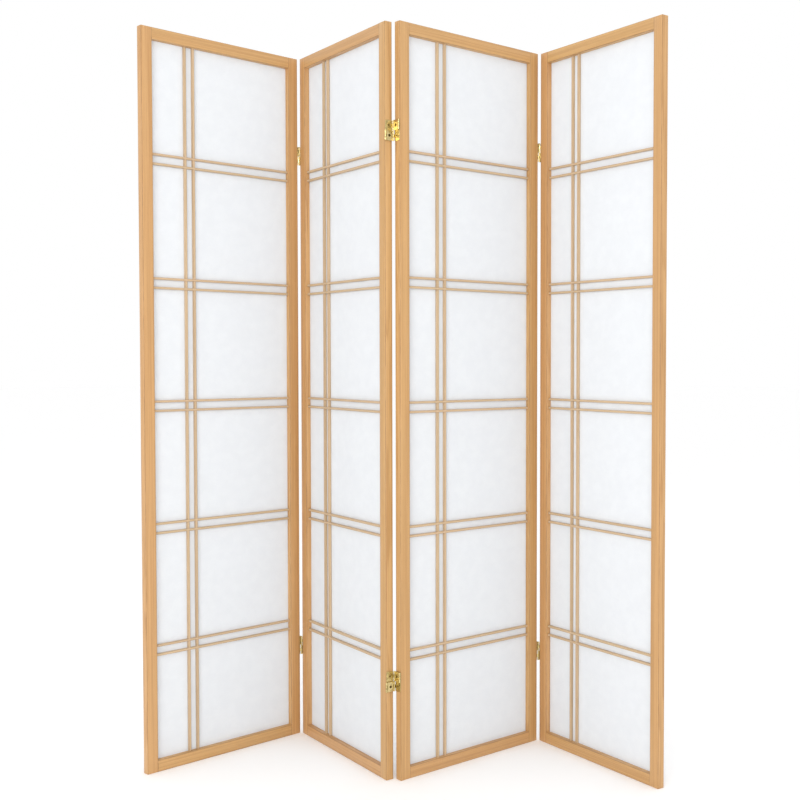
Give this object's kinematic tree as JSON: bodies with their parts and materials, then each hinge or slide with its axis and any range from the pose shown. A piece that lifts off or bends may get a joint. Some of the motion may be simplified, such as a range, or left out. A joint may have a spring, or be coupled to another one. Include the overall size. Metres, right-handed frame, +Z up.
{
  "type": "folding room divider screen",
  "caption": "Free-standing folding screen of tall wooden frames with a slender lattice over translucent paper, joined by brass two-way hinges into a zigzag.",
  "frame": {"origin": "on the floor, in the middle of the rectangle that the standing screen covers", "axes": "+Z up; +X from the left end to the right end of the screen seen from its lattice side; +Y to the back, away from the lattice side"},
  "size_m": [1.2456, 0.3622, 1.784],
  "materials": {
    "frame_wood": "satin clear lacquer on honey-toned spruce",
    "lattice_wood": "satin clear lacquer on honey-toned spruce",
    "rice_paper": "matt fibrous laminated paper",
    "leaf_brass": "polished brass plate",
    "link_brass": "polished brass"
  },
  "bodies": {
    "panel_1": {"panel_1_stile_left": "frame_wood", "panel_1_stile_right": "frame_wood", "panel_1_rail_bottom": "frame_wood", "panel_1_rail_top": "frame_wood", "panel_1_lattice": "lattice_wood", "panel_1_paper": "rice_paper", "hinge_1_top_leaf_left": "leaf_brass", "hinge_1_top_link_upper": "link_brass", "hinge_1_bottom_leaf_left": "leaf_brass", "hinge_1_bottom_link_upper": "link_brass"},
    "panel_2": {"panel_2_stile_left": "frame_wood", "panel_2_stile_right": "frame_wood", "panel_2_rail_bottom": "frame_wood", "panel_2_rail_top": "frame_wood", "panel_2_lattice": "lattice_wood", "panel_2_paper": "rice_paper", "hinge_1_top_leaf_right": "leaf_brass", "hinge_1_top_link_lower": "link_brass", "hinge_1_bottom_leaf_right": "leaf_brass", "hinge_1_bottom_link_lower": "link_brass", "hinge_2_top_leaf_left": "leaf_brass", "hinge_2_top_link_lower": "link_brass", "hinge_2_bottom_leaf_left": "leaf_brass", "hinge_2_bottom_link_lower": "link_brass"},
    "panel_3": {"panel_3_stile_left": "frame_wood", "panel_3_stile_right": "frame_wood", "panel_3_rail_bottom": "frame_wood", "panel_3_rail_top": "frame_wood", "panel_3_lattice": "lattice_wood", "panel_3_paper": "rice_paper", "hinge_2_top_leaf_right": "leaf_brass", "hinge_2_top_link_upper": "link_brass", "hinge_2_bottom_leaf_right": "leaf_brass", "hinge_2_bottom_link_upper": "link_brass", "hinge_3_top_leaf_left": "leaf_brass", "hinge_3_top_link_upper": "link_brass", "hinge_3_bottom_leaf_left": "leaf_brass", "hinge_3_bottom_link_upper": "link_brass"},
    "panel_4": {"panel_4_stile_left": "frame_wood", "panel_4_stile_right": "frame_wood", "panel_4_rail_bottom": "frame_wood", "panel_4_rail_top": "frame_wood", "panel_4_lattice": "lattice_wood", "panel_4_paper": "rice_paper", "hinge_3_top_leaf_right": "leaf_brass", "hinge_3_top_link_lower": "link_brass", "hinge_3_bottom_leaf_right": "leaf_brass", "hinge_3_bottom_link_lower": "link_brass"}
  },
  "joints": [
    {"name": "fold_1_2", "type": "hinge", "parent": "panel_2", "child": "panel_1", "pos_m": [-0.32338, 0.16524, 0.892], "axis": [0, 0, 1], "range_deg": [-100, 79]},
    {"name": "fold_2_3", "type": "hinge", "parent": "panel_2", "child": "panel_3", "pos_m": [-0.01278, -0.1645, 0.892], "axis": [0, 0, 1], "range_deg": [-96.5, 82.5]},
    {"name": "fold_3_4", "type": "hinge", "parent": "panel_3", "child": "panel_4", "pos_m": [0.31053, 0.15279, 0.892], "axis": [0, 0, 1], "range_deg": [-83.5, 95.5]}
  ]
}
